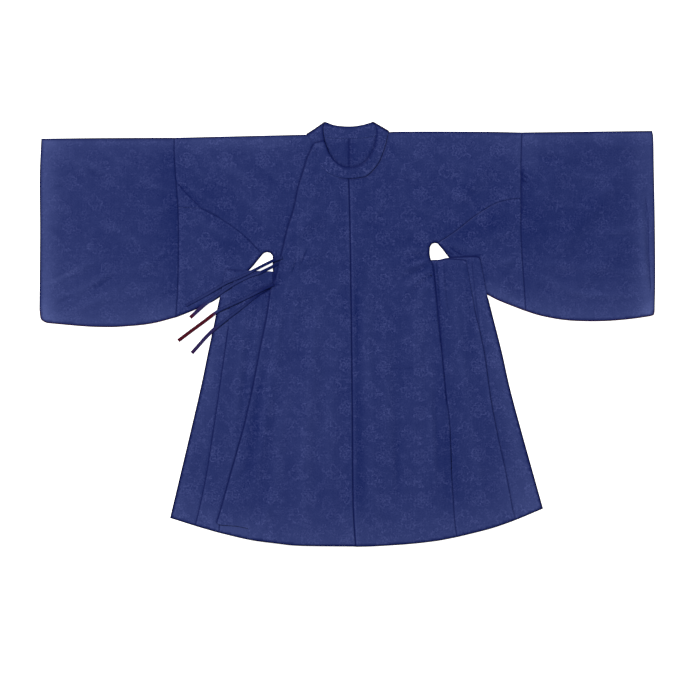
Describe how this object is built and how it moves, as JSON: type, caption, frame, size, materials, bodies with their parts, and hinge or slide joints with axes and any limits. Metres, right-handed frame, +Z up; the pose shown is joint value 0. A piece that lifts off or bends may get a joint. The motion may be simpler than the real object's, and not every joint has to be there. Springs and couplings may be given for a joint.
{
  "type": "hanfu robe, round-collared, laid flat",
  "caption": "Long round-collared robe with wide sleeves and side panels, laid flat with its front up.",
  "frame": {"origin": "centre of the robe's box at its underside, on the surface that it lies on", "axes": "+X towards the wearer's left sleeve, +Y towards the collar, +Z up out of the front"},
  "size_m": [1.968, 1.3595, 0.009],
  "materials": {
    "robe_cloth": "navy silk jacquard, soft satin sheen",
    "collar_cloth": "navy silk jacquard, doubled and stiffened",
    "tie_cloth": "navy plain silk ribbon with a dark red back"
  },
  "bodies": {
    "root": {"back_left": "robe_cloth", "back_right": "robe_cloth", "front_inner": "robe_cloth", "front_outer": "robe_cloth", "front_overlap": "robe_cloth", "underarm_left_back": "robe_cloth", "underarm_right_back": "robe_cloth", "underarm_left_front": "robe_cloth", "underarm_right_front": "robe_cloth", "side_panel_left_back": "robe_cloth", "side_panel_right_back": "robe_cloth", "side_panel_left_front": "robe_cloth", "side_panel_right_front": "robe_cloth", "sleeve_left": "robe_cloth", "sleeve_right": "robe_cloth", "collar": "collar_cloth", "tie_1": "tie_cloth", "tie_2": "tie_cloth", "tie_3": "tie_cloth", "tie_4": "tie_cloth"}
  },
  "joints": []
}
